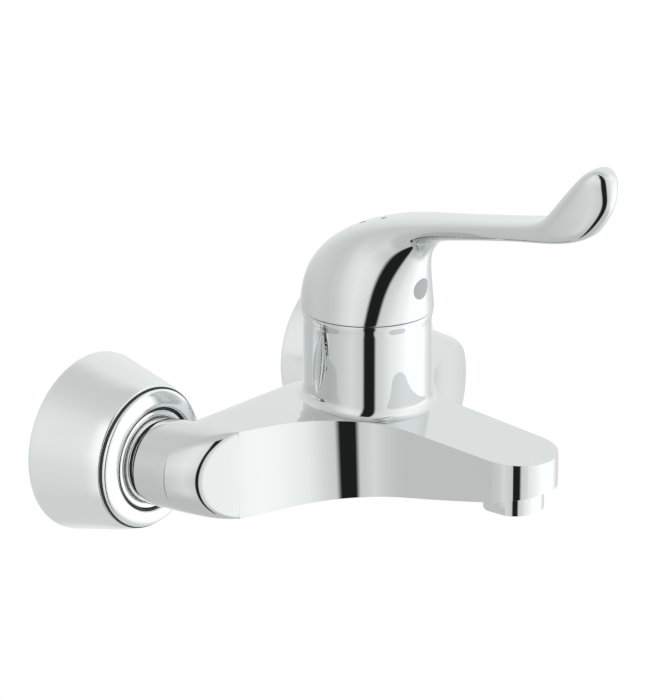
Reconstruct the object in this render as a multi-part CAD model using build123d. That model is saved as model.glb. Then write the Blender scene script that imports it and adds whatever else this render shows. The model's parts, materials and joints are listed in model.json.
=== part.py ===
from build123d import *
from math import cos, radians, sin, tan
import os

os.makedirs("parts", exist_ok=True)

# Everything is modelled with z = 0 on the mixer's inlet axis and y = 0 on the wall.
# The spout points along -Y, hot is on the left (-X), and the finished pieces are
# raised by union_offset, so that z = 0 ends up on the wall threads.

# Inlets and wall unions
inlet_spacing = 150.0
union_offset = 7.5
wall_thread_r = 10.4775
wall_thread_length = 14.0
union_thread_r = 13.2
union_bore_r = 7.0
union_bend_start = 2.0
union_bend_end = 14.0
union_face = 27.0
washer_thickness = 2.6
washer_hole_r = 7.6

# Union nuts and inlet tails, distances measured from the wall
thread_clearance = 0.1
nut_start = 18.5
nut_across_flats = 30.0
nut_hex_end = 29.0
nut_collar_r = 16.9
nut_end = 37.6
nut_gap = 0.4
tail_r = 11.1
tail_flange_r = 12.8
tail_flange_thickness = 3.0
nut_shoulder_gap = 0.3
valve_bore_r = 8.1
valve_bore_depth = 17.0

# Escutcheons
escutcheon_wall_r = 36.0
escutcheon_cone_end = 30.0
escutcheon_roll_outer_r = 28.5
escutcheon_roll_step = 0.9
escutcheon_roll_inner_r = 20.9
escutcheon_roll_crest = 35.4
escutcheon_lip_end = 33.2
escutcheon_hole_r = 18.5
escutcheon_wall = 1.3
ring_start = 30.0
ring_clearance = 0.05

# Check valves
valve_length = 14.0
valve_wall = 1.5
valve_seat_r = 4.2
valve_seat_thickness = 1.8
poppet_r = 5.2
poppet_thickness = 1.4
poppet_stem_r = 0.9
poppet_guide_clearance = 0.06
poppet_seat_gap = 0.05
spider_thickness = 2.0
spring_wire_r = 0.3
spring_r = 3.2
spring_turns = 4

# Body casting
arm_start_r = 17.4
arm_r = 17.8
arm_taper = 14.0
arm_lean = 7.0
arm_length = 33.5
bar_half_height = 17.9
bar_back = 40.0
bar_back_round = 13.0
bar_flat_end = 70.0
pad_reach = 92.0
pad_depth = 60.8
spout_root = 118.0
spout_root_half_width = 17.9
spout_tip_half_width = 16.9
tower_axis = 79.0
tower_r = 25.3
tower_top = 53.0
tower_flare_r = 25.9
tower_flare_start = 4.2
tower_flare_end = 1.5
tower_edge = 0.5
tower_base_fillet = 3.0
aerator_axis = 152.0
recess_half_width = 5.7
recess_half_height = 14.3
recess_depth = 3.0
recess_height = 36.4
recess_shift = 2.8
chamber_r = 11.2
chamber_depth = 62.0
cross_way_y = 55.0
cross_way_r = 10.6
cross_way_end = 24.0
spout_way_start = 90.0
spout_way_end = 146.0
spout_way_drop = 4.0
spout_way_rise = 3.5
spout_way_width = 24.0
spout_way_height = 10.5
riser_r = 3.2
outlet_r = 3.8
tip_bottom_fillet = 4.0
tip_top_fillet = 1.5

# Cartridge, heights on the tower axis
seat_height = 14.0
cartridge_r = 17.45
bore_clearance = 0.15
housing_wall = 2.45
shoulder_height = 37.5
neck_r = 15.0
neck_top = 43.0
base_thickness = 3.5
disc_thickness = 3.0
disc_gap = 0.05
fixed_disc_r = 14.8
moving_disc_r = 11.0
carrier_r = 12.2
carrier_skirt = 1.5
carrier_top = 31.0
guide_r = 14.6
guide_bottom = 31.3
guide_shoulder = 34.7
guide_neck_r = 12.3
guide_top = 46.0
guide_gap = 0.3
inlet_port_x = 6.5
inlet_port_y = 4.0
outlet_port_y = 6.5
mixing_recess_depth = 1.5
peg_r = 1.6
peg_length = 3.0
peg_x = 11.0
port_seal_thickness = 1.2
port_seal_width = 1.1

# Stem, pin and lever motion
pivot_height = 39.0
closed_tilt = 12.5
pin_r = 1.5
pin_half_length = 11.4
pin_clearance = 0.05
stem_width = 7.0
stem_ball_drop = 9.5
stem_ball_r = 2.6
stem_neck_r = 2.1
stem_below_pin = 4.5
stem_above_pin = 31.0
stem_clearance = 0.15
stem_slot_half_length = 6.4
limiter_r = 14.9
limiter_height = 2.9

# Clamping nut
clamp_thread_r = 20.1
clamp_thread_height = 6.5
clamp_across_flats = 32.0
clamp_height = 11.5

# Lever handle
cap_r = 26.5
cap_gap = 0.6
cap_lip_r = 25.65
cap_inner_r = 24.6
cap_lip_height = 2.0
cavity_straight = 9.0
cavity_height = 25.5
cavity_top_r = 13.0
boss_r = 7.6
boss_bottom = 54.2
boss_top = 82.0
socket_clearance = 0.1
screw_height = 65.4
screw_r = 2.5
screw_length = 8.0
plug_r = 4.3
plug_thickness = 2.0
plug_front = 104.9

# Aerator
aerator_r = 11.8
aerator_bottom = 12.3
aerator_top = 0.5
aerator_wall = 1.8
aerator_lip = 0.9
aerator_insert_clearance = 0.05
aerator_seal_thickness = 2.0
aerator_flat_depth = 0.8
aerator_flat_height = 3.2

TOP = (Align.CENTER, Align.CENTER, Align.MIN)


def rod(start, end, radius):
    """A round bar between two points."""
    axis = Vector(*end) - Vector(*start)
    return Plane(origin=start, z_dir=axis) * Cylinder(radius, axis.length, align=TOP)


def turned(outline):
    """A closed outline of (radius, height) points, turned about Z."""
    profile = make_face(Plane.XZ * Polyline(*outline, close=True))
    return revolve(profile, Axis.Z)


def ring(outer_r, inner_r, bottom, top):
    return turned([(inner_r, bottom), (outer_r, bottom), (outer_r, top), (inner_r, top)])


def on_inlet(side, piece):
    """Stands a piece turned about Z on the wall, so its heights point away from it."""
    return Pos(side * inlet_spacing / 2, 0, 0) * Rot(90, 0, 0) * piece


def on_tower(piece):
    return Pos(0, -tower_axis, 0) * piece


def tilted_on_pin(piece):
    """Leans a piece made about the pin to where the closed lever holds it."""
    return Pos(0, -tower_axis, pivot_height) * Rot(closed_tilt, 0, 0) * piece


# Wall unions

def s_union(side):
    x = side * inlet_spacing / 2
    low = Vector(x, 0, -union_offset)
    high = Vector(x, 0, 0)

    def bend(wall_r, mixer_r):
        first = Plane(origin=low - Vector(0, union_bend_start, 0), z_dir=(0, -1, 0))
        last = Plane(origin=high - Vector(0, union_bend_end, 0), z_dir=(0, -1, 0))
        return loft([first * Circle(wall_r), last * Circle(mixer_r)])

    def straight(centre, near, far, radius):
        return rod(centre - Vector(0, near, 0), centre - Vector(0, far, 0), radius)

    outside = straight(low, -wall_thread_length, union_bend_start, wall_thread_r)
    outside += bend(wall_thread_r, union_thread_r)
    outside += straight(high, union_bend_end, union_face, union_thread_r)
    inside = straight(low, -wall_thread_length - 1, union_bend_start, union_bore_r)
    inside += bend(union_bore_r, union_bore_r)
    inside += straight(high, union_bend_end, union_face + 1, union_bore_r)
    return outside - inside


def inlet_washer(side):
    return on_inlet(side, ring(tail_flange_r, washer_hole_r, union_face, union_face + washer_thickness))


def union_nut(side):
    hexagon = extrude(RegularPolygon(nut_across_flats / 2, 6, major_radius=False), nut_hex_end - nut_start)
    nut = Pos(0, 0, nut_start) * hexagon
    nut += ring(nut_collar_r, tail_r, nut_hex_end, nut_end)
    shoulder = tail_end() + tail_flange_thickness + nut_shoulder_gap
    thread_r = union_thread_r + thread_clearance
    nut -= Pos(0, 0, nut_start - 1) * Cylinder(thread_r, shoulder - nut_start + 1, align=TOP)
    nut -= Pos(0, 0, nut_start) * Cylinder(tail_r + thread_clearance, nut_end, align=TOP)
    return on_inlet(side, nut)


def tail_end():
    return union_face + washer_thickness


def escutcheon(side):
    roll = ThreePointArc(
        (escutcheon_roll_outer_r, escutcheon_cone_end + 0.6),
        ((escutcheon_roll_outer_r + escutcheon_roll_inner_r) / 2, escutcheon_roll_crest),
        (escutcheon_roll_inner_r, escutcheon_lip_end),
    )
    outer = Polyline(
        (escutcheon_wall_r - escutcheon_wall, 0),
        (escutcheon_wall_r, 0),
        (escutcheon_wall_r, escutcheon_wall),
        (escutcheon_roll_outer_r + escutcheon_roll_step, escutcheon_cone_end),
        (escutcheon_roll_outer_r, escutcheon_cone_end + 0.6),
    )
    under_roll = ThreePointArc(
        (escutcheon_roll_inner_r, escutcheon_lip_end - escutcheon_wall),
        ((escutcheon_roll_outer_r + escutcheon_roll_inner_r) / 2, escutcheon_roll_crest - escutcheon_wall),
        (escutcheon_roll_outer_r - escutcheon_wall, escutcheon_cone_end - 0.6),
    )
    lip = Polyline(
        (escutcheon_roll_inner_r, escutcheon_lip_end),
        (escutcheon_roll_inner_r - 0.4, escutcheon_lip_end - 0.7),
        (escutcheon_roll_inner_r - 0.8, escutcheon_lip_end),
        (escutcheon_hole_r, escutcheon_lip_end - 0.2),
        (escutcheon_hole_r, escutcheon_lip_end - escutcheon_wall),
        (escutcheon_roll_inner_r, escutcheon_lip_end - escutcheon_wall),
    )
    inner = Line(
        (escutcheon_roll_outer_r - escutcheon_wall, escutcheon_cone_end - 0.6),
        (escutcheon_wall_r - escutcheon_wall, 0),
    )
    outline = Plane.XZ * (Curve() + outer + roll + lip + under_roll + inner)
    return on_inlet(side, revolve(make_face(outline), Axis.Z))


def escutcheon_ring(side):
    inner_r = nut_collar_r + ring_clearance
    shape = ring(escutcheon_hole_r, inner_r, ring_start, escutcheon_lip_end - 0.4)
    shape += ring(escutcheon_hole_r + 1.2, inner_r, ring_start, escutcheon_lip_end - escutcheon_wall)
    return on_inlet(side, shape)


# Check valves, which sit in the inlet tails

def valve_end():
    return tail_end() + valve_length


def poppet_start():
    return tail_end() + valve_seat_thickness + poppet_seat_gap


def spider_start():
    return valve_end() - spider_thickness


def check_valve_housing(side):
    inner_r = valve_bore_r - valve_wall
    shell = ring(valve_bore_r, inner_r, tail_end(), valve_end())
    shell += ring(inner_r, valve_seat_r, tail_end(), tail_end() + valve_seat_thickness)
    hub = ring(poppet_stem_r + 1.1, poppet_stem_r + poppet_guide_clearance, spider_start(), valve_end())
    spoke = Box(inner_r - poppet_stem_r, 1.2, spider_thickness, align=TOP)
    for turn in range(3):
        shell += Rot(0, 0, 120 * turn) * Pos((inner_r + poppet_stem_r + 1) / 2, 0, spider_start()) * spoke
    shell -= Cylinder(poppet_stem_r + poppet_guide_clearance, valve_end() + 1, align=TOP)
    return on_inlet(side, shell + hub)


def check_valve_poppet(side):
    start = poppet_start()
    end = valve_end() + 1.5
    piece = Pos(0, 0, start) * Cylinder(poppet_r, poppet_thickness, align=TOP)
    piece += Pos(0, 0, start) * Cylinder(poppet_stem_r, end - start, align=TOP)
    return on_inlet(side, piece)


def check_valve_spring(side):
    low = poppet_start() + poppet_thickness + spring_wire_r
    high = spider_start() - spring_wire_r
    path = Pos(0, 0, low) * Helix((high - low) / spring_turns, high - low, spring_r)
    wire = sweep(Plane(path @ 0, z_dir=path % 0) * Circle(spring_wire_r), path)
    return on_inlet(side, wire)


# Body casting

def arm_axis_x(distance):
    """How far out the leaning axis of an arm is, at a distance from the wall."""
    return inlet_spacing / 2 - arm_lean * (distance - nut_end) / arm_length


def front_outline(reach, back_line):
    """The plan of the casting: two pads that sweep into the spout, closed at the back."""
    sweep_in = Spline(
        (-pad_reach, -pad_depth),
        (-pad_reach + 25.3, -pad_depth - 10.6),
        (-pad_reach + 45.1, -pad_depth - 17.6),
        (-spout_root_half_width - 12.1, -pad_depth - 28.4),
        (-spout_root_half_width - 2.9, -pad_depth - 40.7),
        (-spout_root_half_width, -spout_root),
        tangents=[(1, -0.42), (0.03, -1)],
    )
    side = Line(sweep_in @ 1, (-spout_tip_half_width, -aerator_axis))
    tip = ThreePointArc(
        (-spout_tip_half_width, -aerator_axis),
        (0, -aerator_axis - spout_tip_half_width),
        (spout_tip_half_width, -aerator_axis),
    )
    left = Curve() + sweep_in + side
    right = mirror(left, Plane.YZ)
    back = Polyline((-pad_reach, -pad_depth), *back_line, (pad_reach, -pad_depth))
    return extrude(make_face(left + tip + right + back), reach, both=True)


def between_arm_axes(height):
    """The space between the upright planes through the two arms' axes."""
    near = arm_axis_x(0)
    far = arm_axis_x(2 * aerator_axis)
    plan = Polyline((-near, 0), (near, 0), (far, -2 * aerator_axis), (-far, -2 * aerator_axis), close=True)
    return extrude(make_face(plan), height, both=True)


def side_outline():
    """The side view of the bar and spout, from its rounded back to the spout's end."""
    front = -aerator_axis - spout_tip_half_width - 3
    start = (-bar_flat_end, bar_half_height)
    droop = [(-1, 0), (-1, -0.08)]
    top = Spline(start, (-92, 15.8), (-113.6, 14.3), (-138, 12.3), (front, 9.6), tangents=droop)
    start = (-bar_flat_end, -bar_half_height)
    rise = [(-1, 0), (-1, 0.21)]
    bottom = Spline(start, (-102, -15.3), (-128.7, -10.8), (front, -2.0), tangents=rise)
    flat = bar_half_height - bar_back_round
    turn_y = -bar_back - bar_back_round
    back_top = RadiusArc((-bar_back, flat), (turn_y, bar_half_height), -bar_back_round)
    back_bottom = RadiusArc((-bar_back, -flat), (turn_y, -bar_half_height), bar_back_round)
    lines = Curve() + top + bottom + back_top + back_bottom
    lines += Line((turn_y, bar_half_height), (-bar_flat_end, bar_half_height))
    lines += Line((turn_y, -bar_half_height), (-bar_flat_end, -bar_half_height))
    lines += Line((-bar_back, -flat), (-bar_back, flat))
    lines += Line((front, 9.6), (front, -2.0))
    return make_face(Plane.YZ * lines)


def arm(side):
    """The leaning round arm between an inlet and its pad."""
    start = nut_end + nut_gap
    full = start + arm_taper

    def at(distance):
        return Vector(side * arm_axis_x(distance), -distance, 0)

    near = Plane(origin=at(start), z_dir=(0, -1, 0)) * Circle(arm_start_r)
    far = Plane(origin=at(full), z_dir=(0, -1, 0)) * Circle(arm_r)
    past = Plane(origin=at(full + arm_length), z_dir=(0, -1, 0)) * Circle(arm_r)
    return loft([near, far]) + loft([far, past])


def tower():
    flare_start = tower_top - tower_flare_start
    outline = [
        (0, 0),
        (tower_r, 0),
        (tower_r, flare_start),
        (tower_flare_r, tower_top - tower_flare_end),
        (tower_flare_r, tower_top - tower_edge),
        (tower_flare_r - tower_edge, tower_top),
        (0, tower_top),
    ]
    return on_tower(turned(outline))


def side_recess(side):
    scoop = scale(Sphere(1), by=(recess_depth, recess_half_width, recess_half_height))
    return Pos(side * tower_r, -tower_axis + recess_shift, recess_height) * scoop


def inlet_tail(side):
    start = tail_end()
    tail = ring(tail_r, valve_bore_r, start, nut_end + nut_gap + 2)
    tail += ring(tail_flange_r, valve_bore_r, start, start + tail_flange_thickness)
    return on_inlet(side, tail)


def waterways():
    """The hot and cold ways up to the cartridge seat, and the outlet way down the spout."""
    ways = []
    port_y = -tower_axis - inlet_port_y
    for side in (-1, 1):
        x = side * inlet_spacing / 2
        port_x = side * inlet_port_x
        valve_end_y = -tail_end() - valve_bore_depth
        chamber_start = (side * arm_axis_x(-valve_end_y), valve_end_y + 1, 0)
        chamber_end = (side * arm_axis_x(chamber_depth), -chamber_depth, 0)
        cross_start = (side * arm_axis_x(cross_way_y), -cross_way_y, 0)
        cross_end = (side * cross_way_end, -cross_way_y, 0)
        ways.append(rod((x, -tail_end() + 1, 0), (x, valve_end_y, 0), valve_bore_r))
        ways.append(rod(chamber_start, chamber_end, chamber_r))
        ways.append(rod(cross_start, cross_end, cross_way_r))
        ways.append(rod((side * (cross_way_end + 2), -cross_way_y, 0), (port_x, port_y, 5), riser_r + 0.6))
        ways.append(rod((port_x, port_y, 3), (port_x, port_y, seat_height + 1), riser_r))
    outlet_y = -tower_axis + outlet_port_y
    ways.append(rod((0, outlet_y, -6), (0, outlet_y, seat_height + 1), outlet_r))
    ways.append(rod((0, outlet_y + 2, -7), (0, -spout_way_start - 4, -4), outlet_r + 0.4))
    spout_way = Vector(0, -spout_way_end, spout_way_rise) - Vector(0, -spout_way_start, -spout_way_drop)
    start = Plane(origin=(0, -spout_way_start, -spout_way_drop), x_dir=(1, 0, 0), z_dir=spout_way)
    ways.append(start * extrude(SlotOverall(spout_way_width, spout_way_height), spout_way.length))
    return ways


def cartridge_bore():
    thread_start = shoulder_height
    bore_r = cartridge_r + bore_clearance
    outline = [
        (0, seat_height),
        (bore_r, seat_height),
        (bore_r, thread_start),
        (clamp_thread_r + thread_clearance, thread_start),
        (clamp_thread_r + thread_clearance, tower_top + 1),
        (0, tower_top + 1),
    ]
    holes = turned(outline)
    peg_hole = Cylinder(peg_r + 0.1, peg_length + 1, align=TOP)
    for side in (-1, 1):
        holes += Pos(side * peg_x, 0, seat_height - peg_length - 0.3) * peg_hole
    return on_tower(holes)


def aerator_bore():
    top = aerator_top + aerator_seal_thickness
    return Pos(0, -aerator_axis, -20) * Cylinder(aerator_r + thread_clearance, 20 + top, align=TOP)


def tower_base_edges(body):
    """The edges where the round tower meets the top of the casting."""
    axis = Vector(0, -tower_axis, 0)

    def at_base(edge):
        middle = edge @ 0.5
        reach = Vector(middle.X, middle.Y, 0) - axis
        return abs(reach.length - tower_r) < 0.1 and 5 < middle.Z < bar_half_height + 0.1

    return body.edges().filter_by(at_base)


def mixer_body():
    sides = [(-pad_reach, -20), (pad_reach, -20)]
    plan = front_outline(40, sides)
    body = extrude(side_outline(), pad_reach, both=True) & plan & between_arm_axes(40)
    tip = body.edges().filter_by(lambda edge: edge.center().Y < -aerator_axis).group_by(Axis.Z)
    body = fillet(tip[0], tip_bottom_fillet)
    tip = body.edges().filter_by(lambda edge: edge.center().Y < -aerator_axis).group_by(Axis.Z)
    body = fillet(tip[-1], tip_top_fillet)
    for side in (-1, 1):
        body += arm(side) & plan
    body += tower()
    body = fillet(tower_base_edges(body), tower_base_fillet)
    for side in (-1, 1):
        body += inlet_tail(side)
        body -= side_recess(side)
    body -= cartridge_bore()
    for bore in waterways():
        body -= bore
    body -= aerator_bore()
    return body


# Cartridge

def disc_bottom():
    return seat_height + base_thickness


def ports(bottom, height, grow=0.0):
    """The three round ports that run from the seat through the base and fixed disc."""
    holes = Pos(0, outlet_port_y, bottom) * Cylinder(outlet_r + grow, height, align=TOP)
    for side in (-1, 1):
        holes += Pos(side * inlet_port_x, -inlet_port_y, bottom) * Cylinder(riser_r + grow, height, align=TOP)
    return holes


def cartridge_base():
    base = Pos(0, 0, seat_height) * Cylinder(cartridge_r, base_thickness, align=TOP)
    for side in (-1, 1):
        base += Pos(side * peg_x, 0, seat_height - peg_length) * Cylinder(peg_r, peg_length + 1, align=TOP)
    base -= ports(seat_height - 1, base_thickness + 2)
    base -= ports(seat_height - 1, 1 + port_seal_thickness, port_seal_width)
    return on_tower(base)


def port_seals():
    seals = ports(seat_height, port_seal_thickness, port_seal_width)
    return on_tower(seals - ports(seat_height - 1, port_seal_thickness + 2))


def fixed_disc():
    disc = Pos(0, 0, disc_bottom()) * Cylinder(fixed_disc_r, disc_thickness, align=TOP)
    return on_tower(disc - ports(disc_bottom() - 1, disc_thickness + 2))


def closed_slide():
    """How far the closed lever holds the moving disc behind the tower axis."""
    return stem_ball_drop * sin(radians(closed_tilt))


def moving_disc_bottom():
    return disc_bottom() + disc_thickness + disc_gap


def moving_disc():
    bottom = moving_disc_bottom()
    disc = Pos(0, 0, bottom) * Cylinder(moving_disc_r, disc_thickness, align=TOP)
    mixing = Pos(0, 2.5, bottom - 1) * extrude(SlotOverall(15, 8), 1 + mixing_recess_depth)
    return on_tower(Pos(0, closed_slide(), 0) * (disc - mixing))


def disc_carrier():
    bottom = moving_disc_bottom() + disc_thickness
    carrier = Pos(0, 0, bottom) * Cylinder(carrier_r, carrier_top - bottom, align=TOP)
    carrier += ring(carrier_r, moving_disc_r + 0.05, bottom - carrier_skirt, bottom + 0.5)
    floor = pivot_height - stem_ball_drop - stem_ball_r - 0.4
    seat = Pos(0, 0, floor) * Box(2 * stem_ball_r + 0.2, 2 * stem_ball_r + 0.4, carrier_top, align=TOP)
    return on_tower(Pos(0, closed_slide(), 0) * (carrier - seat))


def stem_guide():
    outline = [
        (0, guide_bottom),
        (guide_r, guide_bottom),
        (guide_r, guide_shoulder),
        (guide_neck_r, guide_shoulder),
        (guide_neck_r, guide_top),
        (0, guide_top),
    ]
    guide = turned(outline)
    slot = Box(stem_width + 2 * stem_clearance, 2 * stem_slot_half_length, 3 * guide_top)
    guide -= slot
    guide -= rod((-guide_neck_r - 1, 0, pivot_height), (guide_neck_r + 1, 0, pivot_height), pin_r)
    return on_tower(guide)


def pivot_pin():
    return on_tower(rod((-pin_half_length, 0, pivot_height), (pin_half_length, 0, pivot_height), pin_r))


def stem():
    length = stem_below_pin + stem_above_pin
    square = Pos(0, 0, -stem_below_pin) * Box(stem_width, stem_width, length, align=TOP)
    square = chamfer(square.edges().group_by(Axis.Z)[-1], 0.8)
    piece = square + Pos(0, 0, -stem_ball_drop) * Cylinder(stem_neck_r, stem_ball_drop, align=TOP)
    piece += Pos(0, 0, -stem_ball_drop) * Sphere(stem_ball_r)
    piece -= rod((-stem_width, 0, 0), (stem_width, 0, 0), pin_r + pin_clearance)
    return tilted_on_pin(piece)


def temperature_limiter():
    shape = ring(limiter_r, guide_neck_r, neck_top + 0.1, neck_top + limiter_height)
    shape -= Pos(0, -limiter_r, neck_top + 1.5) * Box(5, 2.4, limiter_height, align=TOP)
    return on_tower(shape)


def cartridge_housing():
    inner_r = cartridge_r - housing_wall
    outline = [
        (inner_r, disc_bottom()),
        (cartridge_r, disc_bottom()),
        (cartridge_r, shoulder_height),
        (neck_r, shoulder_height),
        (neck_r, neck_top),
        (guide_neck_r + guide_gap, neck_top),
        (guide_neck_r + guide_gap, guide_shoulder + guide_gap),
        (inner_r, guide_shoulder + guide_gap),
    ]
    return on_tower(turned(outline))


def clamping_nut():
    nut = Pos(0, 0, shoulder_height) * Cylinder(clamp_thread_r, clamp_thread_height, align=TOP)
    hexagon = extrude(RegularPolygon(clamp_across_flats / 2, 6, major_radius=False), clamp_height)
    nut += Pos(0, 0, shoulder_height) * hexagon
    nut -= Pos(0, 0, shoulder_height - 1) * Cylinder(neck_r + 0.15, clamp_height + 2, align=TOP)
    return on_tower(nut)


# Lever handle

def handle_oval(outer, inner, half_width, fullness=0.5523):
    """Twelve control points of an oval across the handle, given its top and underside."""
    top = Vector(0, *outer)
    under = Vector(0, *inner)
    centre = (top + under) * 0.5
    up = top - centre
    out = Vector(half_width, 0, 0)
    k = fullness
    quarter = [(1, 0), (1, k), (k, 1)]
    across = []
    for turn in range(4):
        for a, b in quarter:
            for step in range(turn):
                a, b = -b, a
            across.append(centre + out * a + up * b)
    return across


def handle_ovals():
    """The cap, its shoulder, the long lever and the upturned end, from rim to tip."""
    rim = tower_top + cap_gap
    back = cap_r - tower_axis
    front = -cap_r - tower_axis
    return [
        handle_oval((back, rim), (front, rim), cap_r),
        handle_oval((back - 0.6, rim + 8), (front + 0.1, rim + 8), cap_r),
        handle_oval((-55.6, 73), (-105.1, 70), 26.1),
        handle_oval((-63.0, 82), (-104.8, 76.5), 24.8, 0.57),
        handle_oval((-73.5, 88.6), (-105.4, 81.5), 22.3, 0.6),
        handle_oval((-87, 92.2), (-108, 85), 19, 0.63),
        handle_oval((-101, 94.4), (-113.5, 87.8), 15.5, 0.66),
        handle_oval((-118, 97.0), (-121.5, 90.0), 12, 0.7),
        handle_oval((-140, 100.7), (-142, 94.0), 9.6, 0.72),
        handle_oval((-158, 103.5), (-160, 97.6), 9.2, 0.72),
        handle_oval((-168.5, 106), (-177.5, 100.4), 9.8, 0.72),
        handle_oval((-173.2, 111.8), (-185.5, 105.2), 10.6, 0.7),
        handle_oval((-179.5, 119.5), (-190.3, 111.8), 11, 0.68),
        handle_oval((-184.6, 125.6), (-194.6, 118.3), 10.4, 0.65),
        handle_oval((-187.9, 129.2), (-196.3, 123.2), 7.6, 0.6),
        handle_oval((-190.3, 130.7), (-195.3, 127.0), 3.6),
    ]


def quarter_of(oval, quarter):
    return [oval[(3 * quarter + step) % 12] for step in range(4)]


def handle_skin():
    """Smooth patches through the ovals, sewn into one solid."""
    ovals = handle_ovals()
    centres = [(oval[0] + oval[6]) * 0.5 for oval in ovals]
    along = [0.0]
    for before, after in zip(centres, centres[1:]):
        along.append(along[-1] + (after - before).length)
    slopes = []
    for i in range(len(ovals)):
        low = max(i - 1, 0)
        high = min(i + 1, len(ovals) - 1)
        slopes.append([(b - a) / (along[high] - along[low]) for a, b in zip(ovals[low], ovals[high])])
    patches = []
    for i in range(len(ovals) - 1):
        third = (along[i + 1] - along[i]) / 3
        near = [p + slope * third for p, slope in zip(ovals[i], slopes[i])]
        far = [p - slope * third for p, slope in zip(ovals[i + 1], slopes[i + 1])]
        rows = (ovals[i], near, far, ovals[i + 1])
        for quarter in range(4):
            patches.append(Face.make_bezier_surface([quarter_of(row, quarter) for row in rows]))
    for oval in (ovals[0], ovals[-1]):
        edges = [Bezier(*quarter_of(oval, quarter)) for quarter in range(4)]
        patches.append(make_face(edges).face())
    return Solid(Shell(patches))


def cap_cavity():
    rim = tower_top + cap_gap
    outline = [
        (0, rim - 1),
        (cap_lip_r, rim - 1),
        (cap_lip_r, rim),
        (cap_inner_r, rim + cap_lip_height),
        (cap_inner_r, rim + cavity_straight),
        (cavity_top_r, rim + cavity_height),
        (0, rim + cavity_height),
    ]
    return on_tower(turned(outline))


def stem_length_to(height):
    """How far along the leaning stem a height on its axis is from the pin."""
    return (height - pivot_height) / cos(radians(closed_tilt))


def lever_handle():
    screw_hole = rod((0, -tower_axis - 4, screw_height), (0, -plug_front - 4, screw_height), screw_r)
    plug_seat = -plug_front + plug_thickness
    plug_hole = rod((0, plug_seat, screw_height), (0, -plug_front - 4, screw_height), plug_r)
    low = stem_length_to(boss_bottom)
    boss = tilted_on_pin(Pos(0, 0, low) * Cylinder(boss_r, stem_length_to(boss_top) - low, align=TOP))
    width = stem_width + 2 * socket_clearance
    boss -= tilted_on_pin(Box(width, width, stem_above_pin + 0.3, align=TOP))
    handle = handle_skin() - plug_hole - screw_hole - cap_cavity()
    return handle + (boss - screw_hole)


def stem_front_at(height):
    lean = radians(closed_tilt)
    return -tower_axis - (height - pivot_height) * tan(lean) - stem_width / 2 / cos(lean)


def grub_screw():
    tip = stem_front_at(screw_height - screw_r)
    tip = min(tip, stem_front_at(screw_height + screw_r))
    screw = rod((0, tip, screw_height), (0, tip - screw_length, screw_height), screw_r)
    outer_end = Plane(origin=(0, tip - screw_length, screw_height), z_dir=(0, 1, 0))
    key = outer_end * RegularPolygon(1.25, 6, major_radius=False)
    return screw - extrude(key, 3)


def index_plug():
    return rod((0, -plug_front, screw_height), (0, -plug_front + plug_thickness, screw_height), plug_r)


# Aerator

def aerator_housing():
    inner_r = aerator_r - aerator_wall
    shell = ring(aerator_r, inner_r, -aerator_bottom, aerator_top)
    shell += ring(inner_r, inner_r - aerator_lip, -aerator_bottom, -aerator_bottom + aerator_lip)
    for side in (-1, 1):
        flat = Box(aerator_flat_depth * 2, 12, aerator_flat_height, align=TOP)
        shell -= Pos(side * aerator_r, 0, -aerator_bottom) * flat
    return Pos(0, -aerator_axis, 0) * shell


def aerator_insert():
    radius = aerator_r - aerator_wall - aerator_insert_clearance
    bottom = -aerator_bottom + aerator_lip
    insert = Pos(0, 0, bottom) * Cylinder(radius, aerator_top - bottom, align=TOP)
    insert -= Pos(0, 0, bottom + 3) * Cylinder(radius - 1.5, aerator_top - bottom, align=TOP)
    holes = PolarLocations(radius - 4, 12)
    insert -= holes * Cylinder(0.9, 40)
    insert -= PolarLocations(radius - 7, 6) * Cylinder(0.9, 40)
    return Pos(0, -aerator_axis, 0) * insert


def aerator_seal():
    seal = ring(aerator_r - 0.2, aerator_r - 3.2, aerator_top, aerator_top + aerator_seal_thickness)
    return Pos(0, -aerator_axis, 0) * seal


def write(name, piece):
    export_step(Pos(0, 0, union_offset) * piece, "parts/" + name + ".step")


for suffix, side in (("hot", -1), ("cold", 1)):
    write("s_union_" + suffix, s_union(side))
    write("inlet_washer_" + suffix, inlet_washer(side))
    write("union_nut_" + suffix, union_nut(side))
    write("escutcheon_" + suffix, escutcheon(side))
    write("escutcheon_ring_" + suffix, escutcheon_ring(side))
    write("check_valve_housing_" + suffix, check_valve_housing(side))
    write("check_valve_poppet_" + suffix, check_valve_poppet(side))
    write("check_valve_spring_" + suffix, check_valve_spring(side))

write("mixer_body", mixer_body())
write("cartridge_base", cartridge_base())
write("port_seals", port_seals())
write("fixed_disc", fixed_disc())
write("moving_disc", moving_disc())
write("disc_carrier", disc_carrier())
write("stem_guide", stem_guide())
write("pivot_pin", pivot_pin())
write("stem", stem())
write("temperature_limiter", temperature_limiter())
write("cartridge_housing", cartridge_housing())
write("clamping_nut", clamping_nut())
write("lever_handle", lever_handle())
write("grub_screw", grub_screw())
write("index_plug", index_plug())
write("aerator_housing", aerator_housing())
write("aerator_insert", aerator_insert())
write("aerator_seal", aerator_seal())
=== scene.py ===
import bpy
import bmesh
import json
import math
import numpy as np
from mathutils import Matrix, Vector
from mathutils.geometry import interpolate_bezier


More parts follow.
